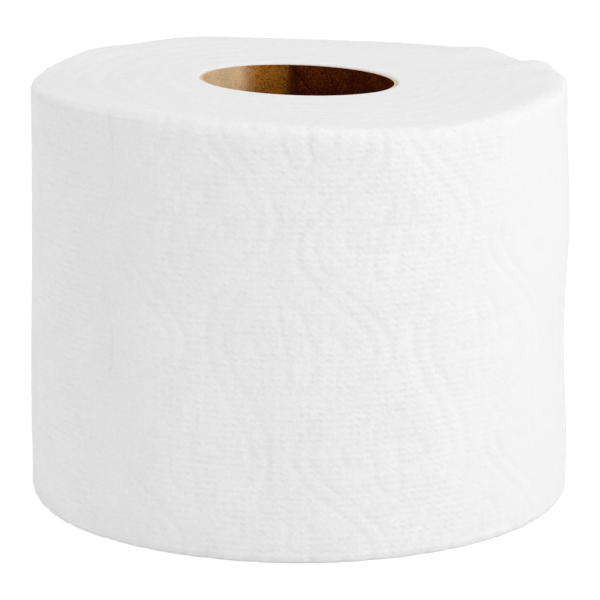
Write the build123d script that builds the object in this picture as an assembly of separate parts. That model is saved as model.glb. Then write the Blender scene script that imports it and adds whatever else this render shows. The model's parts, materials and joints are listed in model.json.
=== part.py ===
from build123d import *
import math
import os

# A toilet paper roll that stands on its end: one long two-ply sheet, wound on a cardboard core.
# Sizes are in millimetres and angles in degrees. The roll's axis is Z, its lower end stands on Z = 0
# and its front faces -Y.

# The roll
ROLL_DIAMETER = 114.0
SHEET_WIDTH = 89.0
TOP_RIM_ROUND = 2.0
BASE_RIM_ROUND = 3.0
RIM_FLATS = 3

# The core, a tube wound from a strip of board
CORE_BORE = 39.6
CORE_WALL = 0.6
CORE_RECESS = 0.4
SEAM_LEAD = 150.0
SEAM_WIDTH = 0.6
SEAM_DEPTH = 0.25
SEAM_BEARING = 97.0

# The tail, the torn end of the sheet on the outside of the roll
TAIL_STEP = 0.3
TAIL_BEARING = -139.0
TAIL_REACH = 4.0
TAIL_WANDER = 1.2
TAIL_WAVE = 37.0
TAIL_PHASE = 23.0
TAIL_POINTS = 11

# The turns that show on both ends, as one spiral furrow
TURN_PITCH = 5.0
FURROW_WIDTH = 0.5
FURROW_DEPTH = 0.4
RIM_LAND = 4.5
CORE_LAND = 1.5

# Sizes that follow from the ones above
ROLL_RADIUS = ROLL_DIAMETER / 2
BORE_RADIUS = CORE_BORE / 2
CORE_RADIUS = BORE_RADIUS + CORE_WALL
CORE_LENGTH = SHEET_WIDTH - 2 * CORE_RECESS
OVERSHOOT = 1.0


def axis_at(x):
    """The upright axis through a point of the X axis."""
    return Axis((x, 0, 0), (0, 0, 1))


def rim(centre, size, start):
    """A quarter of a soft rim, as short flats from the angle start on."""
    angles = [math.radians(start + 90 * i / RIM_FLATS) for i in range(RIM_FLATS + 1)]
    return [(centre[0] + size * math.cos(a), centre[1] + size * math.sin(a)) for a in angles]


def roll_section(radius):
    """Half section of the wound sheet, from the axis to the wall, with its soft rims."""
    base = rim((radius - BASE_RIM_ROUND, BASE_RIM_ROUND), BASE_RIM_ROUND, -90)
    top = rim((radius - TOP_RIM_ROUND, SHEET_WIDTH - TOP_RIM_ROUND), TOP_RIM_ROUND, 0)
    return Plane.XZ * Polygon((0, 0), *base, *top, (0, SHEET_WIDTH), align=None)


def half_turn(section, centre_x, start, arc=180):
    """A section swung round the axis at centre_x, from the bearing start."""
    return revolve(Pos(centre_x, 0, 0) * Rot(0, 0, start) * section, axis_at(centre_x), arc)


def tail_outline():
    """The tail seen square on: straight where it joins the last turn, wandering along its torn edge."""
    heights = [SHEET_WIDTH * i / (TAIL_POINTS - 1) for i in range(TAIL_POINTS)]
    wander = [TAIL_WANDER * math.sin(2 * math.pi * (z + TAIL_PHASE) / TAIL_WAVE) for z in heights]
    torn = [(offset - TAIL_REACH, z) for offset, z in zip(wander, heights)]
    edge = Spline(*torn)
    border = Polyline(torn[-1], (0, SHEET_WIDTH), (0, 0), torn[0])
    return make_face([edge, border])


def tail(centre_x, radius):
    """The end of the sheet, which lies on the turn beneath and reaches past where that turn closes."""
    span = math.degrees(2 * (TAIL_REACH + TAIL_WANDER) / radius)
    sheet = half_turn(roll_section(radius), centre_x, -span, span)
    square_on = Plane(origin=(0, 0, 0), x_dir=(0, 1, 0), z_dir=(1, 0, 0))
    return sheet & extrude(square_on * tail_outline(), ROLL_DIAMETER)


def last_turn():
    """The outside of the roll: half turns about two centres, so the wall closes with a step of one sheet."""
    outer_centre, inner_centre = TAIL_STEP / 4, -TAIL_STEP / 4
    outer_radius, inner_radius = ROLL_RADIUS - TAIL_STEP / 4, ROLL_RADIUS - 3 * TAIL_STEP / 4
    outer = half_turn(roll_section(outer_radius), outer_centre, 0)
    inner = half_turn(roll_section(inner_radius), inner_centre, 180)
    return outer + inner + tail(inner_centre, inner_radius + TAIL_STEP)


def furrow_section(radius):
    """The furrow between two turns, cut square across at one bearing, on both ends of the roll."""
    half = FURROW_WIDTH / 2
    base = Polygon((radius - half, 0), (radius + half, 0), (radius, FURROW_DEPTH), align=None)
    floor = SHEET_WIDTH - FURROW_DEPTH
    top = Polygon((radius - half, SHEET_WIDTH), (radius, floor), (radius + half, SHEET_WIDTH), align=None)
    return Plane.XZ * Sketch([base, top])


def furrows():
    """Half turns about two centres in turn, each half a pitch smaller, from the rim in to the core."""
    start, end = ROLL_RADIUS - RIM_LAND, CORE_RADIUS + CORE_LAND
    count = math.floor(2 * (start - end) / TURN_PITCH)
    cuts = []
    for i in range(count):
        radius = start - i * TURN_PITCH / 2 - TURN_PITCH / 4
        centre, bearing = (TURN_PITCH / 4, 0) if i % 2 == 0 else (-TURN_PITCH / 4, 180)
        cuts.append(half_turn(furrow_section(radius), centre, bearing))
    return cuts


def paper_roll():
    """The whole sheet, all its turns in one solid. Seen from above, it runs clockwise from its tail."""
    hole = Cylinder(CORE_RADIUS, SHEET_WIDTH, align=(Align.CENTER, Align.CENTER, Align.MIN))
    wound = last_turn() - furrows() - hole
    return Rot(0, 0, TAIL_BEARING) * mirror(wound, Plane.XZ)


def seam():
    """The helical gap that the edges of the core's inner strip leave in the bore."""
    length = CORE_LENGTH + 2 * OVERSHOOT
    section = Rectangle(SEAM_DEPTH + OVERSHOOT, SEAM_WIDTH, align=(Align.MAX, Align.CENTER))
    section = Pos(BORE_RADIUS + SEAM_DEPTH, 0, 0) * section
    twist = 360 * length / SEAM_LEAD
    gap = Solid.extrude_linear_with_rotation(section.face(), (0, 0, 0), (0, 0, length), twist)
    at_top = SEAM_BEARING - twist
    return Pos(0, 0, CORE_RECESS - OVERSHOOT) * Rot(0, 0, at_top) * gap


def core():
    """The cardboard tube that the sheet is wound on."""
    base = (Align.CENTER, Align.CENTER, Align.MIN)
    tube = Cylinder(CORE_RADIUS, CORE_LENGTH, align=base) - Cylinder(BORE_RADIUS, CORE_LENGTH, align=base)
    return Pos(0, 0, CORE_RECESS) * tube - seam()


os.makedirs("parts", exist_ok=True)
for name, shape in {"paper_roll": paper_roll(), "core": core()}.items():
    export_step(shape, f"parts/{name}.step")
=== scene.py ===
import json
import math

import bpy
import numpy as np
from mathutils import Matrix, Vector


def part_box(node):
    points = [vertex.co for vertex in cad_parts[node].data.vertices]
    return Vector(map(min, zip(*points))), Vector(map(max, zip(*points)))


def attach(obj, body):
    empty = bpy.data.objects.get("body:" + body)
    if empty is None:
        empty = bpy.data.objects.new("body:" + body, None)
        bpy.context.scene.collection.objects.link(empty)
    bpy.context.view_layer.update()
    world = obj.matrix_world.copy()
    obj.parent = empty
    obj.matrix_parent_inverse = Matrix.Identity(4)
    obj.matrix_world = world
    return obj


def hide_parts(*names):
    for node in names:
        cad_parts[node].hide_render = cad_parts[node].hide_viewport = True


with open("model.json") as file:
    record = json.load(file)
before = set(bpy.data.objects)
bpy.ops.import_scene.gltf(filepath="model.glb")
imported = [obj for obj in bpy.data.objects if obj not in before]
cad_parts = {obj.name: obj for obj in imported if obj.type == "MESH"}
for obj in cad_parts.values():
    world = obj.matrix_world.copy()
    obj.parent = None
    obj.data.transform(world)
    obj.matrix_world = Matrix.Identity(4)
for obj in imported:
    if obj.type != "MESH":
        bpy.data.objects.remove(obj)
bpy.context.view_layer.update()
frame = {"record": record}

# A toilet paper roll that stands on its end. Lengths are in metres and angles in degrees, unless a name
# says otherwise. Z is the roll's axis and -Y its front. A bearing is counted from +X towards +Y.
MM = 0.001

# Sizes of the frame
PAPER_LOW, PAPER_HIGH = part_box("paper_roll")
CORE_LOW, CORE_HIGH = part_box("core")
BORE_RADIUS = frame["record"]["mounts"][0]["dims"]["r_mm"] * MM
CORE_RADIUS = CORE_HIGH.x
SHEET_WIDTH = PAPER_HIGH.z
ROLL_RADIUS = max(PAPER_HIGH.x, PAPER_HIGH.y, -PAPER_LOW.x, -PAPER_LOW.y)

# Soft shape of the roll
FLARE = 1.4 * MM  # how much wider the roll's radius is at the base
BASE_ROUND = 2.0 * MM
BASE_REACH = 1.3 * MM
BASE_SQUARE = (180, 40, -0.75 * MM)  # bearing, half-width in degrees, change of the base rim's reach
RIM_START = 4.0 * MM  # where the wall ends and the top rim starts, below the sheet's width
RIM_DROP = 3.0 * MM
RIM_REACH = 3.4 * MM
RIM_SOFTNESS = (  # bearing, half-width in degrees, change of the rim's reach, change of its drop
    (-92, 35, 1.2 * MM, 1.0 * MM),
    (-170, 40, -2.4 * MM, -1.8 * MM),
    (-2, 22, 0.4 * MM, -1.6 * MM),
)
RIM_LUMPS = (  # bearing, half-width in degrees, rise
    (180, 14, -0.65 * MM),
    (158, 10, 0.25 * MM),
    (145, 10, 1.05 * MM),
    (120, 16, 1.0 * MM),
    (80, 22, -0.5 * MM),
    (41, 7, 1.0 * MM),
    (16, 6, 1.55 * MM),
    (0, 9, 1.2 * MM),
    (-24, 11, 0.6 * MM),
    (-60, 20, -1.1 * MM),
    (-125, 28, 1.6 * MM),
)
BULGES = (  # bearing, height, half-width in degrees, half-height, swelling
    (0, 61 * MM, 40, 14 * MM, 0.55 * MM),
    (0, 35 * MM, 45, 13 * MM, -0.55 * MM),
    (0, 12 * MM, 40, 8 * MM, 0.3 * MM),
    (180, 62 * MM, 40, 40 * MM, -0.3 * MM),
    (180, 2 * MM, 40, 11 * MM, -0.6 * MM),
    (-115, 87 * MM, 12, 0.9 * MM, -0.12 * MM),
    (-115, 85.2 * MM, 12, 0.9 * MM, 0.14 * MM),
)
RIM_WRINKLE = 0.1 * MM
RIM_WRINKLE_REACH = 3.5 * MM
RIM_WRINKLE_WAVES = (  # waves round the roll, phase in degrees
    (31, 60),
    (43, 200),
    (57, 310),
    (74, 15),
    (93, 145),
    (118, 250),
    (141, 80),
)
WALL_WAVES = (  # waves round the roll, wave along its height, phase in degrees, swelling
    (3, 120 * MM, 40, 0.08 * MM),
    (5, 75 * MM, 200, 0.08 * MM),
    (8, 52 * MM, 310, 0.06 * MM),
    (13, 33 * MM, 95, 0.03 * MM),
)

# The mouth, which is a little oval and askew
LIP_ROUND = 0.7 * MM
MOUTH_SLOPE = 1.6
MOUTH_WIDENING = 0.3 * MM
MOUTH_SQUEEZE = 1.3 * MM
MOUTH_DENT = 0.5 * MM
MOUTH_DENT_BEARING = 180.0
MOUTH_DENT_WIDTH = 50.0
MOUTH_DEPTH = 8.0 * MM
BORE_DEPTHS = (3 * MM, 6 * MM, 9 * MM, 12 * MM, 18 * MM)  # depths of the rings in the paper's bore

# The tail, which is the torn end of the sheet
TAIL_BEARING = -133.0
TAIL_STEP = 0.3 * MM
TAIL_SHEET = 0.25 * MM  # thickness of the edge where it stands free
TAIL_FEATHER = 0.03 * MM  # thickness of the edge where it is pressed flat
TAIL_PRESSED = 4.0 * MM  # how far from the edge the sheet is pressed thin and plain
TAIL_OVERLAP = 0.6 * MM  # how far the turn beneath passes under the edge
TAIL_RIM_GAP = 0.3 * MM  # how far the turn beneath falls short of the edge at the rims
TAIL_WANDER = 2.0 * MM
TAIL_WAVE = 37 * MM
TAIL_PHASE = 23 * MM
TEAR_DEPTH = 0.05 * MM
TEAR_WAVE = 2.9 * MM
TAIL_OPEN = (  # height, half-height and share of the stretches where the edge stands free
    (83.5 * MM, 4.5 * MM, 0.3),
    (68 * MM, 4 * MM, 0.2),
    (40 * MM, 6 * MM, 0.25),
)
TAIL_LIFT = 0.03 * MM
TAIL_CURL = 2.5 * MM

# The turns that show on the ends
TURN_PITCH = 5.0 * MM
TURN_DEPTH = 0.16 * MM

# The embossed pattern: an ogee trellis of double lines, with a rosette in each of its cells
TRELLIS_SPACING = 21 * MM
TRELLIS_HEIGHT = SHEET_WIDTH / 2
TRELLIS_SWING = 6.4 * MM
TRELLIS_HALF_GAP = 1.7 * MM
TRELLIS_SHIFT = 9 * MM
CHANNEL_WIDTH = 1.9 * MM
CHANNEL_SHOULDER = 1.3  # width of a channel with its shoulders, in channel widths
CHANNEL_DEPTH = 0.27 * MM
PRESS_BEARING = -80.0
PRESS_LOSS = 0.3  # share of the depth that is lost on average round the roll
ROSETTE_RADIUS = 9.0 * MM
ROSETTE_LOBES = 4
ROSETTE_WAIST = 0.42  # least radius of the lobed ring, as a share of its greatest
ROSETTE_RING = 2.9 * MM
DIMPLE_WIDTH = 1.3 * MM

# The seam of the core, as in the solid
SEAM_BEARING = 97.0
SEAM_LEAD = 150 * MM
SEAM_WIDTH = 0.6 * MM
SEAM_DEPTH = 0.25 * MM

# Fine relief of the tissue. A name that ends in _MM is in millimetres. One that ends in _NOISE holds a
# noise's lumps per metre and levels of detail, and one that ends in _RANGE the two ends of a soft step.
IMPRINT_PITCH = 1.36 * MM
IMPRINT_LENGTH = 1.9 * MM
IMPRINT_STRAY = 0.35 * MM
IMPRINT_DEPTH_MM = 0.043
IMPRINT_LEAST_MM = IMPRINT_DEPTH_MM / 3
STRAY_NOISE = (140, 2.0)
DASH_SWING = 0.5
DASH_MEAN = 0.8
BREAK_NOISE = (300, 2.0)
BREAK_RANGE = (0.35, 0.6)
CREPE_STRETCH = 0.35
CREPE_NOISE = (900, 3.0)
CREPE_DEPTH_MM = 0.048
PUCKER_NOISE = (260, 3.0)
PUCKER_DEPTH_MM = 0.072
GRAIN_NOISE = (700, 4.0)
GRAIN_DEPTH_MM = 0.3
RELIEF_SHARES = (  # share of a turn from the left by way of the front, share of the relief that shows
    (0.0, 0.75),
    (0.17, 0.85),
    (0.25, 1.0),
    (0.31, 1.0),
    (0.36, 0.6),
    (0.41, 0.2),
    (0.48, 0.15),
    (0.6, 0.75),
)
EDGE_PITCH = 0.9 * MM
EDGE_NOISE = (1 / EDGE_PITCH, 2.0)
EDGE_DRIFT = 3.0 * MM
EDGE_DEPTH_MM = 0.02
FUZZ_NOISE = (600, 4.0)
FUZZ_DEPTH_MM = 0.35
RIM_FUZZ_RANGE = (SHEET_WIDTH - 6 * MM, SHEET_WIDTH - 2 * MM)
RIM_FUZZ_DEPTH_MM = 0.1
END_RANGE = (0.4, 0.97)  # upright share of the normal, from the wall to an end

# Look of the tissue
TISSUE_ROUGHNESS = 0.95
TISSUE_GLOSS = 0.2
TISSUE_SHEEN = 0.05
TISSUE_WHITE = 0.895
TISSUE_SHADE = 0.83
FIBRE_NOISE = (1700, 3.0)
FIBRE_SHARE = 0.6
CLOUD_NOISE = (90, 5.0)
FLEECE_TONES = ((0.35, TISSUE_SHADE), (0.65, TISSUE_WHITE))  # value of the noise, grey

# Look of the board
BOARD_ROUGHNESS = 0.85
BOARD_GLOSS = 0.0
BOARD_RELIEF_MM = 0.05
BOARD_NOISE = (2800, 3.0)
BLOTCH_NOISE = (200, 4.0)
BLOTCH_SHARE = 0.35
BOARD_SPECK = (0.05, 0.012, 0.003)
# The next three colours are the board's kraft colour with painted light and shade: pale where the key light
# falls on the bore's left wall, dark where the bore lies in shadow, middle between.
BOARD_PAINTED_SHADE = (0.07, 0.006, 0.002)
BOARD_PAINTED_HALF_LIGHT = (0.53, 0.2, 0.02)
BOARD_PAINTED_LIT = (0.98, 0.7, 0.42)
BOARD_WARM = (0.26, 0.07, 0.012)
BOARD_CUT = (0.74, 0.58, 0.41)
BOARD_PAINTED_LIGHT_COLOURS = ((0.0, BOARD_PAINTED_SHADE), (0.5, BOARD_PAINTED_HALF_LIGHT), (1.0, BOARD_PAINTED_LIT))  # painted light, colour: painted shade at 0, the painted lit side at 1
SPECK_STOPS = ((0.43, 0.95), (0.54, 0.0))  # value of the noise, share of the dark specks
SPECK_FADE = 0.75  # share of the specks that the painted lit side loses
GLINT_STOPS = ((0.49, 0.0), (0.6, 0.55))  # value of the noise, share of the warm specks
GLINT_IN_PAINTED_SHADE = ((0.0, 1.0), (0.3, 0.0))  # painted light, share of the warm specks, which show in the painted shade
CUT_RANGE = (0.5, 0.8)  # upright share of the normal, from the bore to the cut edge
BOARD_PAINTED_LIGHT_ROUND = (  # share of a turn from the seam's upper end, painted light from painted shade at 0 to the painted lit side at 1
    (0.0, 0.15),
    (0.006, 0.3),
    (0.05, 0.47),
    (0.075, 0.62),
    (0.095, 0.95),
    (0.11, 1.0),
    (0.3, 1.0),
    (0.6, 0.1),
    (0.75, 0.0),
    (0.994, 0.0),
    (1.0, 0.13),
)

# Studio
MIDDLE = Vector((0, 0, SHEET_WIDTH / 2))
CAMERA_BEARING = -90
CAMERA_DISTANCE = 0.703
CAMERA_ELEVATION = 13.6
CAMERA_LENS_MM = 195.8
CAMERA_SENSOR_MM = 36.0
CAMERA_ROLL = 0.265
CAMERA_AIM = Vector((0.275 * MM, 0, 40.56 * MM))
SKY_STRENGTH = 0.48
LAMPS = {  # bearing, elevation, distance, size, power
    "key": (7, 35, 1.3, 0.2, 2.1),
    "right_high": (-50, 50, 1.5, 0.4, 6.4),
    "right_low": (-40, 4, 1.5, 0.4, 2.95),
    "left_low": (-135, 4, 1.6, 0.4, 2.2),
    "left": (178, 4, 1.5, 0.4, 3.5),
    "above": (125, 68, 1.3, 0.5, 2.65),
}
FLOOR_SIZE = 12.0
FLOOR_GREY = 0.93
FLOOR_SHADOW = 0.3
FLOOR_GLOW = 0.8

# Meshes
SHARP_ANGLE = 40
END_EASE = 6  # one over the share of an end where its turns fade out and its columns even out
COLUMNS = 600
CREVICE_COLUMNS = 4
WALL_ROWS = 108
RIM_ROWS = 8
END_RINGS = 32
LIP_ROWS = 4
CORE_COLUMNS = 240
CORE_ROWS = 113
OUTSIDE_STEP = 4  # rows of the core's bore for each row of its outside


def bell(distance, width):
    """A smooth bump of height 1 at distance 0."""
    return np.exp(-((distance / width) ** 2))


def turn_apart(bearing, other):
    """How far a bearing in radians lies from another in degrees, as degrees from -180 to 180."""
    return (np.degrees(bearing) - other + 180) % 360 - 180


def channel(distance, width=CHANNEL_WIDTH):
    """The relief of a pressed line with rounded shoulders, at a distance from its middle."""
    share = np.clip(np.abs(distance) / (width / 2 * CHANNEL_SHOULDER), 0, 1)
    return -CHANNEL_DEPTH * np.cos(share * math.pi / 2) ** 2


def trellis_relief(along, up):
    """Wavy lines that swing against their neighbours, each pressed as two parallel channels."""
    relief = np.zeros_like(along)
    wave = 2 * math.pi / TRELLIS_HEIGHT
    first = math.floor(along.min() / TRELLIS_SPACING) - 1
    last = math.ceil(along.max() / TRELLIS_SPACING) + 1
    for line in range(first, last + 1):
        swing = TRELLIS_SWING if line % 2 == 0 else -TRELLIS_SWING
        middle = line * TRELLIS_SPACING + swing * np.cos(wave * up)
        slant = swing * wave * np.sin(wave * up)
        apart = (along - middle) / np.sqrt(1 + slant**2)
        for side in (-TRELLIS_HALF_GAP, TRELLIS_HALF_GAP):
            relief = np.minimum(relief, channel(apart - side))
    return relief


def rosette_relief(along, up):
    """A lobed ring round a small ring and a dimple, in the middle of each cell of the trellis."""
    column = np.floor(along / TRELLIS_SPACING)
    across = along - (column + 0.5) * TRELLIS_SPACING
    shift = np.where(column % 2 == 0, TRELLIS_HEIGHT / 2, 0)
    rise = (up - shift + TRELLIS_HEIGHT / 2) % TRELLIS_HEIGHT - TRELLIS_HEIGHT / 2
    reach = np.hypot(across, rise)
    angle = np.arctan2(rise, across)
    swing = (1 - ROSETTE_WAIST) / 2
    outline = ROSETTE_RADIUS * (1 - swing + swing * np.cos(ROSETTE_LOBES * angle))
    slant = ROSETTE_LOBES * swing * np.sin(ROSETTE_LOBES * angle) * ROSETTE_RADIUS / np.maximum(outline, MM)
    relief = channel((reach - outline) / np.sqrt(1 + slant**2))
    relief = np.minimum(relief, channel(reach - ROSETTE_RING))
    return np.minimum(relief, channel(reach, DIMPLE_WIDTH))


def emboss(along, up):
    """The relief of the pattern at a distance along the sheet from its torn end, and a height."""
    along = along + TRELLIS_SHIFT
    return np.minimum(trellis_relief(along, up), rosette_relief(along, up))


def press(bearing):
    """How deep the pattern is pressed, as a share. It is deepest on two sides of the roll."""
    return 1 - PRESS_LOSS * (1 - np.cos(2 * np.radians(turn_apart(bearing, PRESS_BEARING))))


def soft_swelling(bearing, height):
    """How far the soft wall stands proud of a true cylinder."""
    swelling = FLARE * (1 - height / SHEET_WIDTH)
    for side, level, half_width, half_height, rise in BULGES:
        near = bell(turn_apart(bearing, side), half_width) * bell(height - level, half_height)
        swelling = swelling + rise * near
    for count, wave, phase, rise in WALL_WAVES:
        up_wave = np.sin(2 * math.pi * height / wave + math.radians(phase))
        swelling = swelling + rise * up_wave * np.sin(count * bearing + math.radians(phase * 2))
    return swelling


def rim_rise(bearing):
    """How far the top rim stands above the sheet's width."""
    return sum(rise * bell(turn_apart(bearing, side), width) for side, width, rise in RIM_LUMPS)


def rim_section(bearing):
    """How far the top rim rounds in from the wall and how far down, which differ round the roll."""
    reach = RIM_REACH
    drop = RIM_DROP
    for side, width, more, lower in RIM_SOFTNESS:
        near = bell(turn_apart(bearing, side), width)
        reach = reach + near * more
        drop = drop + near * lower
    return reach, drop


def base_reach(bearing):
    """How far the base rim rounds in from the wall."""
    side, width, more = BASE_SQUARE
    return BASE_REACH + more * bell(turn_apart(bearing, side), width)


def mouth_rise(bearing, radius):
    """How far the skew top stands above the sheet's width near the mouth."""
    return -radius * np.cos(bearing) * math.tan(math.radians(MOUTH_SLOPE))


def mouth_swelling(bearing, height):
    """How far the mouth is pushed out of round, which fades down the bore."""
    dent = MOUTH_DENT * bell(turn_apart(bearing, MOUTH_DENT_BEARING), MOUTH_DENT_WIDTH)
    squeeze = MOUTH_SQUEEZE * np.sin(bearing) ** 2
    return (MOUTH_WIDENING + dent - squeeze) * bell(SHEET_WIDTH - height, MOUTH_DEPTH)


def rim_wrinkles(bearing, height):
    """Small soft creases where the edge of the sheet bends over the rims."""
    waves = sum(np.sin(count * bearing + math.radians(phase)) for count, phase in RIM_WRINKLE_WAVES)
    near_rim = bell(height - SHEET_WIDTH, RIM_WRINKLE_REACH) + bell(height, RIM_WRINKLE_REACH)
    return RIM_WRINKLE * waves / math.sqrt(len(RIM_WRINKLE_WAVES)) * near_rim


def tail_edge(height):
    """The bearing of the torn edge, in radians."""
    wander = TAIL_WANDER * math.sin(2 * math.pi * (height + TAIL_PHASE) / TAIL_WAVE)
    wander += TEAR_DEPTH * math.sin(2 * math.pi * height / TEAR_WAVE)
    return math.radians(TAIL_BEARING) - wander / ROLL_RADIUS


def tail_free(height):
    """How far the torn edge stands free, from 0 where it is pressed flat to 1 where it is lifted."""
    return min(1.0, sum(share * float(bell(height - level, half)) for level, half, share in TAIL_OPEN))


def wall_loop(height, flat=0.0):
    """Bearing and radius of each column round the roll at one height. The sheet runs clockwise from its
    torn edge, goes round once and passes under the tail, and the columns come back along the tail's
    underside. They are listed counter-clockwise. flat fades the tail out at a rim."""
    edge = tail_edge(height)
    open_share = 1 - flat
    overlap = (TAIL_OVERLAP * open_share - TAIL_RIM_GAP * flat) / ROLL_RADIUS
    free = tail_free(height)
    sheet = TAIL_FEATHER + free * (TAIL_SHEET - TAIL_FEATHER)
    turn = np.linspace(0, 1, COLUMNS - CREVICE_COLUMNS)
    bearing = edge - turn * (2 * math.pi + overlap)
    along = turn * 2 * math.pi * ROLL_RADIUS
    radius = ROLL_RADIUS - TAIL_STEP * turn
    radius = radius + free * TAIL_LIFT * open_share * np.exp(-along / TAIL_CURL)
    radius = radius - (1 - free) * (TAIL_STEP - TAIL_FEATHER) * bell(along, TAIL_PRESSED)
    radius = radius + soft_swelling(bearing, height) + rim_wrinkles(bearing, height)
    plain = np.maximum(bell(along, TAIL_PRESSED), bell(2 * math.pi * ROLL_RADIUS - along, TAIL_PRESSED))
    radius = radius + press(bearing) * (1 - plain) * emboss(along, np.full_like(along, height))
    inward = (np.arange(CREVICE_COLUMNS) + 1) / CREVICE_COLUMNS
    under_bearing = edge - 2 * math.pi - overlap * (1 - inward)
    under_radius = radius[-1] + inward * (radius[0] - sheet - radius[-1])
    bearing = np.concatenate([bearing, under_bearing])[::-1]
    radius = np.concatenate([radius, under_radius])[::-1]
    return bearing, radius


def ring(bearing, radius, height):
    """A ring of points."""
    return np.stack([radius * np.cos(bearing), radius * np.sin(bearing), height + 0 * bearing], axis=1)


def wall_rings():
    """The rings of the outer wall from the base rim up to the top rim, both rims rounded."""
    rings = []
    for angle in np.linspace(0, math.pi / 2, RIM_ROWS, endpoint=False):
        height = BASE_ROUND * (1 - math.cos(angle))
        inset = 1 - math.sin(angle)
        bearing, radius = wall_loop(height, inset)
        rings.append(ring(bearing, radius - inset * base_reach(bearing), height))
    for share in np.linspace(0, 1, WALL_ROWS):
        level = BASE_ROUND + share * (SHEET_WIDTH - BASE_ROUND - RIM_START)
        bearing, radius = wall_loop(level)
        rings.append(ring(bearing, radius, level + share**2 * rim_rise(bearing)))
    for angle in np.linspace(0, math.pi / 2, RIM_ROWS + 1)[1:]:
        fall = 1 - math.sin(angle)
        inset = 1 - math.cos(angle)
        bearing, radius = wall_loop(SHEET_WIDTH - fall * RIM_START, inset)
        reach, drop = rim_section(bearing)
        rings.append(ring(bearing, radius - inset * reach, SHEET_WIDTH - fall * drop + rim_rise(bearing)))
    return rings


def end_rings(rim, top):
    """The rings of one end, from the rim in to the bore, with every second column of the wall."""
    rim_bearing = np.unwrap(np.arctan2(rim[:, 1], rim[:, 0]))[::2]
    rim_radius = np.hypot(rim[:, 0], rim[:, 1])[::2]
    even = rim_bearing[0] + np.arange(COLUMNS // 2) * 4 * math.pi / COLUMNS
    mouth = CORE_RADIUS + LIP_ROUND
    rings = []
    for share in np.arange(1, END_RINGS + 1) / END_RINGS:
        spread = min(1, share * END_EASE)
        bearing = rim_bearing + spread * (even - rim_bearing)
        lip = mouth + mouth_swelling(bearing, SHEET_WIDTH if top else 0.0)
        radius = rim_radius + share * (lip - rim_radius)
        phase = radius / TURN_PITCH - (bearing - rim_bearing[0]) / (2 * math.pi)
        fade = min(1, END_EASE * share, END_EASE * (1 - share))
        ridge = TURN_DEPTH * (np.cos(2 * math.pi * phase) - 1) / 2 * fade
        rise = rim_rise(bearing) * (1 - share) ** 2 + mouth_rise(bearing, radius) * share**2
        rings.append(ring(bearing, radius, SHEET_WIDTH + rise + ridge if top else -ridge))
    return rings


def bore_rings(bearing):
    """The rings of the paper's bore from the top down, with rounded lips."""
    lip = []
    for angle in np.linspace(0, math.pi / 2, LIP_ROWS)[1:]:
        lip.append((LIP_ROUND * (1 - math.sin(angle)), LIP_ROUND * (1 - math.cos(angle))))
    rings = []
    for proud, depth in lip + [(0.0, depth) for depth in BORE_DEPTHS]:
        radius = CORE_RADIUS + proud + mouth_swelling(bearing, SHEET_WIDTH - depth)
        fade = float(bell(depth, MOUTH_DEPTH))
        rings.append(ring(bearing, radius, SHEET_WIDTH - depth + fade * mouth_rise(bearing, radius)))
    for proud, height in reversed(lip):
        rings.append(ring(bearing, CORE_RADIUS + proud, height))
    return rings


def stitch(rings):
    """Points and faces of a closed tube through the rings. Where the number of points changes from one ring
    to the next, it halves or doubles."""
    starts = np.cumsum([0] + [len(points) for points in rings])
    faces = []
    for index, points in enumerate(rings):
        other = (index + 1) % len(rings)
        here, there = starts[index], starts[other]
        count, next_count = len(points), len(rings[other])
        for j in range(min(count, next_count)):
            k = (j + 1) % min(count, next_count)
            if count == next_count:
                faces.append((here + j, here + k, there + k, there + j))
            elif count > next_count:
                first, middle, last = here + 2 * j, here + 2 * j + 1, here + 2 * k
                faces.append((first, middle, there + j))
                faces.append((middle, there + k, there + j))
                faces.append((middle, last, there + k))
            else:
                first, middle, last = there + 2 * j, there + 2 * j + 1, there + 2 * k
                faces.append((here + j, middle, first))
                faces.append((here + j, here + k, middle))
                faces.append((here + k, last, middle))
    return np.concatenate(rings), faces


def mesh_piece(name, rings, material):
    """An object from rings, shaded smooth except at its sharp edges."""
    points, faces = stitch(rings)
    mesh = bpy.data.meshes.new(name)
    mesh.from_pydata(points.tolist(), [], [tuple(int(i) for i in face) for face in faces])
    mesh.shade_smooth()
    mesh.set_sharp_from_angle(angle=math.radians(SHARP_ANGLE))
    mesh.materials.append(material)
    piece = bpy.data.objects.new(name, mesh)
    bpy.context.scene.collection.objects.link(piece)
    return piece


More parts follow.
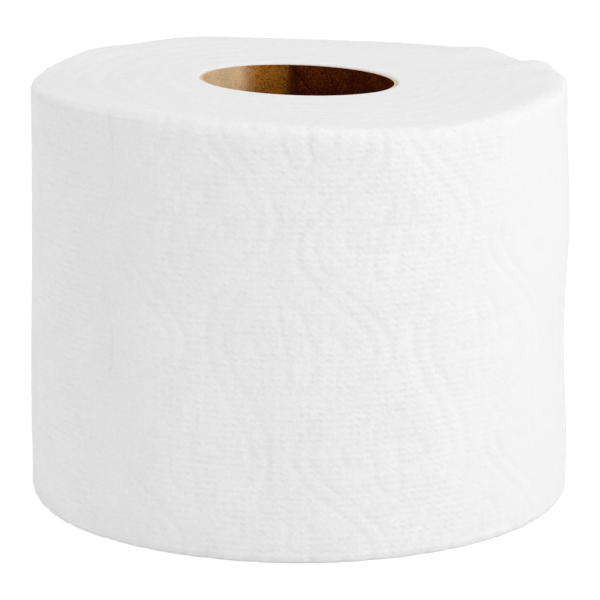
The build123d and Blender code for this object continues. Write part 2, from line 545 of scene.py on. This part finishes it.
class Shader:
    """A material with one principled shader, and short ways to add nodes to it."""

    def __init__(self, name, roughness, gloss):
        self.material = bpy.data.materials.new(name)
        self.material.use_nodes = True
        self.tree = self.material.node_tree
        self.principled = self.tree.nodes["Principled BSDF"]
        self.principled.inputs["Roughness"].default_value = roughness
        self.principled.inputs["Specular IOR Level"].default_value = gloss

    def add(self, kind, **settings):
        """A new node with these settings."""
        node = self.tree.nodes.new("ShaderNode" + kind)
        for name, value in settings.items():
            setattr(node, name, value)
        return node

    def feed(self, socket, value):
        """Links an input to another node's output, or sets it to a plain value."""
        if isinstance(value, bpy.types.NodeSocket):
            self.tree.links.new(value, socket)
        else:
            socket.default_value = value

    def math(self, operation, *values):
        """The outcome of one operation."""
        node = self.add("Math", operation=operation)
        for socket, value in zip(node.inputs, values):
            self.feed(socket, value)
        return node.outputs[0]

    def place(self):
        """The point in the piece's own frame."""
        return self.add("TexCoord").outputs["Object"]

    def split(self, vector):
        """X, Y and Z of a vector."""
        node = self.add("SeparateXYZ")
        self.feed(node.inputs[0], vector)
        return node.outputs

    def upright(self):
        """The upright share of the normal."""
        return self.split(self.add("NewGeometry").outputs["Normal"])[2]

    def vector(self, x, y, z):
        """A vector of three values."""
        node = self.add("CombineXYZ")
        for socket, value in zip(node.inputs, (x, y, z)):
            self.feed(socket, value)
        return node.outputs[0]

    def noise(self, vector, scale, detail):
        """A soft noise about 0.5."""
        node = self.add("TexNoise")
        self.feed(node.inputs["Vector"], vector)
        node.inputs["Scale"].default_value = scale
        node.inputs["Detail"].default_value = detail
        return node.outputs["Fac"]

    def ramp(self, factor, stops):
        """Colours or greys over a factor from 0 to 1."""
        node = self.add("ValToRGB")
        self.feed(node.inputs[0], factor)
        elements = node.color_ramp.elements
        while len(elements) < len(stops):
            elements.new(0.5)
        for element, (place, colour) in zip(elements, stops):
            element.position = place
            element.color = (*colour, 1) if isinstance(colour, tuple) else (colour, colour, colour, 1)
        return node.outputs[0]

    def mix(self, factor, first, second):
        """A colour from first to second. The node's colours are its inputs 6 and 7 and its output 2."""
        node = self.add("Mix", data_type="RGBA")
        self.feed(node.inputs[0], factor)
        self.feed(node.inputs[6], first)
        self.feed(node.inputs[7], second)
        return node.outputs[2]

    def colour(self, value):
        """Sets the base colour."""
        self.feed(self.principled.inputs["Base Color"], value)

    def bump(self, height_mm):
        """Bends the normal by a relief in millimetres."""
        node = self.add("Bump")
        node.inputs["Strength"].default_value = 1.0
        node.inputs["Distance"].default_value = MM
        self.feed(node.inputs["Height"], height_mm)
        self.feed(self.principled.inputs["Normal"], node.outputs[0])

    def smooth(self, value, low, high):
        """0 below low and 1 above high, with a smooth step between."""
        node = self.add("MapRange", interpolation_type="SMOOTHSTEP")
        self.feed(node.inputs["Value"], value)
        node.inputs["From Min"].default_value = low
        node.inputs["From Max"].default_value = high
        return node.outputs[0]


def sine(shader, value, wave):
    """A sine of that wavelength."""
    return shader.math("SINE", shader.math("MULTIPLY", value, 2 * math.pi / wave))


def cylindrical(shader):
    """Bearing in radians, radius and height of the point."""
    x, y, z = shader.split(shader.place())
    squares = shader.math("ADD", shader.math("MULTIPLY", x, x), shader.math("MULTIPLY", y, y))
    return shader.math("ARCTAN2", y, x), shader.math("SQRT", squares), z


def imprint(shader, bearing, height):
    """Relief of the wall in millimetres: the dotted imprint of the drying cloth, over crepe and fibres."""
    across = shader.math("MULTIPLY", bearing, ROLL_RADIUS)
    place = shader.place()
    uneven = shader.math("SUBTRACT", shader.noise(place, *STRAY_NOISE), 0.5)
    stray = shader.math("MULTIPLY", uneven, IMPRINT_STRAY)
    up = shader.math("ADD", height, stray)
    around = 2 * math.pi / round(2 * math.pi * ROLL_RADIUS / IMPRINT_LENGTH)
    rows = sine(shader, up, IMPRINT_PITCH)
    dashes = shader.math("MULTIPLY_ADD", sine(shader, bearing, around), DASH_SWING, DASH_MEAN)
    broken = shader.smooth(shader.noise(place, *BREAK_NOISE), *BREAK_RANGE)
    depth = shader.math("MULTIPLY_ADD", broken, IMPRINT_DEPTH_MM, IMPRINT_LEAST_MM)
    dotted = shader.math("MULTIPLY", shader.math("MULTIPLY", rows, dashes), depth)
    stretched = shader.vector(shader.math("MULTIPLY", across, CREPE_STRETCH), 0.0, height)
    crepe = shader.noise(stretched, *CREPE_NOISE)
    relief = shader.math("MULTIPLY_ADD", crepe, CREPE_DEPTH_MM, dotted)
    relief = shader.math("MULTIPLY_ADD", shader.noise(place, *GRAIN_NOISE), GRAIN_DEPTH_MM, relief)
    return shader.math("MULTIPLY_ADD", shader.noise(place, *PUCKER_NOISE), PUCKER_DEPTH_MM, relief)


def turn_edges(shader, bearing, radius):
    """A value about 0.5 that follows the uneven edges of the turns on the ends."""
    east = shader.math("MULTIPLY", shader.math("COSINE", bearing), EDGE_DRIFT)
    north = shader.math("MULTIPLY", shader.math("SINE", bearing), EDGE_DRIFT)
    return shader.noise(shader.vector(east, north, radius), *EDGE_NOISE)


def tissue_material():
    """White two-ply tissue: a fine woven imprint on the wall, and the edges of the turns on the ends."""
    shader = Shader("tissue", TISSUE_ROUGHNESS, TISSUE_GLOSS)
    bearing, radius, height = cylindrical(shader)
    place = shader.place()
    on_end = shader.smooth(shader.math("ABSOLUTE", shader.upright()), *END_RANGE)
    edges = turn_edges(shader, bearing, radius)
    fuzz = shader.noise(place, *FUZZ_NOISE)
    end_fuzz = shader.math("MULTIPLY", fuzz, FUZZ_DEPTH_MM)
    end_relief = shader.math("MULTIPLY_ADD", edges, EDGE_DEPTH_MM, end_fuzz)
    near_rim = shader.smooth(height, *RIM_FUZZ_RANGE)
    rim_fuzz = shader.math("MULTIPLY", shader.math("MULTIPLY", fuzz, near_rim), RIM_FUZZ_DEPTH_MM)
    wall_relief = shader.math("ADD", imprint(shader, bearing, height), rim_fuzz)
    turn = shader.math("MULTIPLY_ADD", bearing, 1 / (2 * math.pi), 0.5)
    pressed = shader.ramp(turn, RELIEF_SHARES)
    wall_relief = shader.math("MULTIPLY", wall_relief, pressed)
    wall_share = shader.math("MULTIPLY", wall_relief, shader.math("SUBTRACT", 1.0, on_end))
    shader.bump(shader.math("MULTIPLY_ADD", end_relief, on_end, wall_share))
    fibres = shader.noise(place, *FIBRE_NOISE)
    cloud = shader.mix(on_end, shader.noise(place, *CLOUD_NOISE), edges)
    clouded = shader.math("MULTIPLY", cloud, 1 - FIBRE_SHARE)
    fleece = shader.math("MULTIPLY_ADD", fibres, FIBRE_SHARE, clouded)
    fleece = shader.math("MULTIPLY_ADD", shader.math("SUBTRACT", fleece, 0.5), pressed, 0.5)
    shader.colour(shader.ramp(fleece, FLEECE_TONES))
    shader.principled.inputs["Sheen Weight"].default_value = TISSUE_SHEEN
    return shader.material


def board_material():
    """Speckled kraft board with a paler cut edge. Its colour carries painted light and shade round the
    core: pale on the bore's lit side and dark on its shaded side.
    """
    shader = Shader("core_board", BOARD_ROUGHNESS, BOARD_GLOSS)
    bearing = cylindrical(shader)[0]
    place = shader.place()
    grain = shader.noise(place, *BOARD_NOISE)
    blotch = shader.noise(place, *BLOTCH_NOISE)
    turn = shader.math("MULTIPLY_ADD", bearing, 1 / (2 * math.pi), -SEAM_BEARING / 360)
    # painted light and shade by bearing round the core, in place of the key light's light and shadow in the
    # bore
    painted_light = shader.ramp(shader.math("FRACT", turn), BOARD_PAINTED_LIGHT_ROUND)
    board = shader.ramp(painted_light, BOARD_PAINTED_LIGHT_COLOURS)
    fine = shader.math("MULTIPLY", grain, 1 - BLOTCH_SHARE)
    mottle = shader.math("MULTIPLY_ADD", blotch, BLOTCH_SHARE, fine)
    kept = shader.math("MULTIPLY_ADD", painted_light, -SPECK_FADE, 1.0)
    specks = shader.math("MULTIPLY", shader.ramp(mottle, SPECK_STOPS), kept)
    face = shader.mix(specks, board, (*BOARD_SPECK, 1))
    glints = shader.math("MULTIPLY", shader.ramp(mottle, GLINT_STOPS), shader.ramp(painted_light, GLINT_IN_PAINTED_SHADE))
    face = shader.mix(glints, face, (*BOARD_WARM, 1))
    cut = shader.smooth(shader.upright(), *CUT_RANGE)
    shader.colour(shader.mix(cut, face, (*BOARD_CUT, 1)))
    shader.bump(shader.math("MULTIPLY", grain, BOARD_RELIEF_MM))
    return shader.material


def paper():
    """The wound sheet, as one closed piece."""
    wall = wall_rings()
    top = end_rings(wall[-1], True)
    base = end_rings(wall[0], False)
    bearing = np.unwrap(np.arctan2(top[-1][:, 1], top[-1][:, 0]))
    rings = wall + top + bore_rings(bearing) + base[::-1]
    piece = mesh_piece("tissue_sheet", rings, tissue_material())
    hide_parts("paper_roll")
    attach(piece, "root")


def core_rings():
    """The rings of the core tube: up the bore, over the top edge, down the outside and under the base edge.
    The columns wind with the seam, which is a groove along the first and last of them."""
    length = CORE_HIGH.z - CORE_LOW.z
    share = np.arange(CORE_COLUMNS) / CORE_COLUMNS
    groove = SEAM_DEPTH * bell(np.minimum(share, 1 - share) * 2 * math.pi * BORE_RADIUS, SEAM_WIDTH / 2)
    levels = [CORE_LOW.z + length * i / (CORE_ROWS - 1) for i in range(CORE_ROWS)]

    def loop(radius, height):
        twist = math.radians(SEAM_BEARING) - 2 * math.pi * (CORE_HIGH.z - height) / SEAM_LEAD
        bearing = twist - share * 2 * math.pi
        radius = radius + mouth_swelling(bearing, height)
        fade = float(bell(CORE_HIGH.z - height, MOUTH_DEPTH))
        return ring(bearing, radius, height + fade * mouth_rise(bearing, radius))

    bore = [loop(BORE_RADIUS + groove, height) for height in levels]
    outside = [loop(CORE_RADIUS, height) for height in levels[::-OUTSIDE_STEP]]
    return bore + outside


def core():
    """The cardboard tube, as one closed piece."""
    piece = mesh_piece("core_tube", core_rings(), board_material())
    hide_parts("core")
    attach(piece, "root")


def aim(thing, place, target, roll=0.0):
    """Puts a lamp or camera at a place, turned to a target."""
    thing.location = place
    thing.rotation_euler = (target - place).to_track_quat("-Z", "Y").to_euler()
    thing.rotation_euler.rotate_axis("Z", math.radians(roll))


def polar(bearing, elevation, distance):
    """A point seen from the middle of the roll at a bearing and an elevation."""
    flat = distance * math.cos(math.radians(elevation))
    east = flat * math.cos(math.radians(bearing))
    north = flat * math.sin(math.radians(bearing))
    return MIDDLE + Vector((east, north, distance * math.sin(math.radians(elevation))))


def lamp(name, bearing, elevation, distance, size, power):
    """A square soft box turned to the middle of the roll."""
    light = bpy.data.lights.new(name, "AREA")
    light.size = size
    light.energy = power
    thing = bpy.data.objects.new(name, light)
    bpy.context.scene.collection.objects.link(thing)
    aim(thing, polar(bearing, elevation, distance), MIDDLE)


def seen_white(tree, first, second):
    """A shader that is second where the camera or a reflection looks, and first for all other light."""
    links = tree.links
    path = tree.nodes.new("ShaderNodeLightPath")
    seen = path.outputs["Is Camera Ray"]
    for name in ("Is Glossy Ray", "Is Transmission Ray"):
        either = tree.nodes.new("ShaderNodeMath")
        either.operation = "MAXIMUM"
        links.new(seen, either.inputs[0])
        links.new(path.outputs[name], either.inputs[1])
        seen = either.outputs[0]
    mix = tree.nodes.new("ShaderNodeMixShader")
    links.new(seen, mix.inputs[0])
    links.new(first, mix.inputs[1])
    links.new(second, mix.inputs[2])
    return mix.outputs[0]


def studio():
    """The light: soft lamps and a dim even sky, which looks white."""
    world = bpy.context.scene.world or bpy.data.worlds.new("studio")
    bpy.context.scene.world = world
    world.use_nodes = True
    tree = world.node_tree
    tree.nodes.clear()
    sky = tree.nodes.new("ShaderNodeBackground")
    sky.inputs["Strength"].default_value = SKY_STRENGTH
    white = tree.nodes.new("ShaderNodeBackground")
    for shade in (sky, white):
        shade.inputs["Color"].default_value = (1, 1, 1, 1)
    output = tree.nodes.new("ShaderNodeOutputWorld")
    tree.links.new(seen_white(tree, sky.outputs[0], white.outputs[0]), output.inputs[0])
    for name, settings in LAMPS.items():
        lamp(name, *settings)


def floor():
    """The pale floor. It looks white but for the roll's shadow, and lights the roll as plain grey."""
    half = FLOOR_SIZE / 2
    corners = [(-half, -half, 0), (half, -half, 0), (half, half, 0), (-half, half, 0)]
    mesh = bpy.data.meshes.new("floor")
    mesh.from_pydata(corners, [], [(0, 1, 2, 3)])
    material = bpy.data.materials.new("floor")
    material.use_nodes = True
    tree = material.node_tree
    tree.nodes.clear()
    plain = tree.nodes.new("ShaderNodeBsdfDiffuse")
    plain.inputs["Color"].default_value = (FLOOR_GREY, FLOOR_GREY, FLOOR_GREY, 1)
    shadowed = tree.nodes.new("ShaderNodeBsdfDiffuse")
    shadowed.inputs["Color"].default_value = (FLOOR_SHADOW, FLOOR_SHADOW, FLOOR_SHADOW, 1)
    glow = tree.nodes.new("ShaderNodeEmission")
    glow.inputs["Strength"].default_value = FLOOR_GLOW
    white = tree.nodes.new("ShaderNodeAddShader")
    tree.links.new(shadowed.outputs[0], white.inputs[0])
    tree.links.new(glow.outputs[0], white.inputs[1])
    output = tree.nodes.new("ShaderNodeOutputMaterial")
    tree.links.new(seen_white(tree, plain.outputs[0], white.outputs[0]), output.inputs[0])
    mesh.materials.append(material)
    thing = bpy.data.objects.new("floor", mesh)
    bpy.context.scene.collection.objects.link(thing)


def camera():
    """The camera at the photograph's place."""
    lens = bpy.data.cameras.new("camera")
    lens.sensor_width = CAMERA_SENSOR_MM
    lens.lens = CAMERA_LENS_MM
    thing = bpy.data.objects.new("camera", lens)
    bpy.context.scene.collection.objects.link(thing)
    aim(thing, polar(CAMERA_BEARING, CAMERA_ELEVATION, CAMERA_DISTANCE), CAMERA_AIM, CAMERA_ROLL)
    bpy.context.scene.camera = thing


paper()
core()
studio()
floor()
camera()
bpy.context.scene.view_settings.view_transform = "Standard"
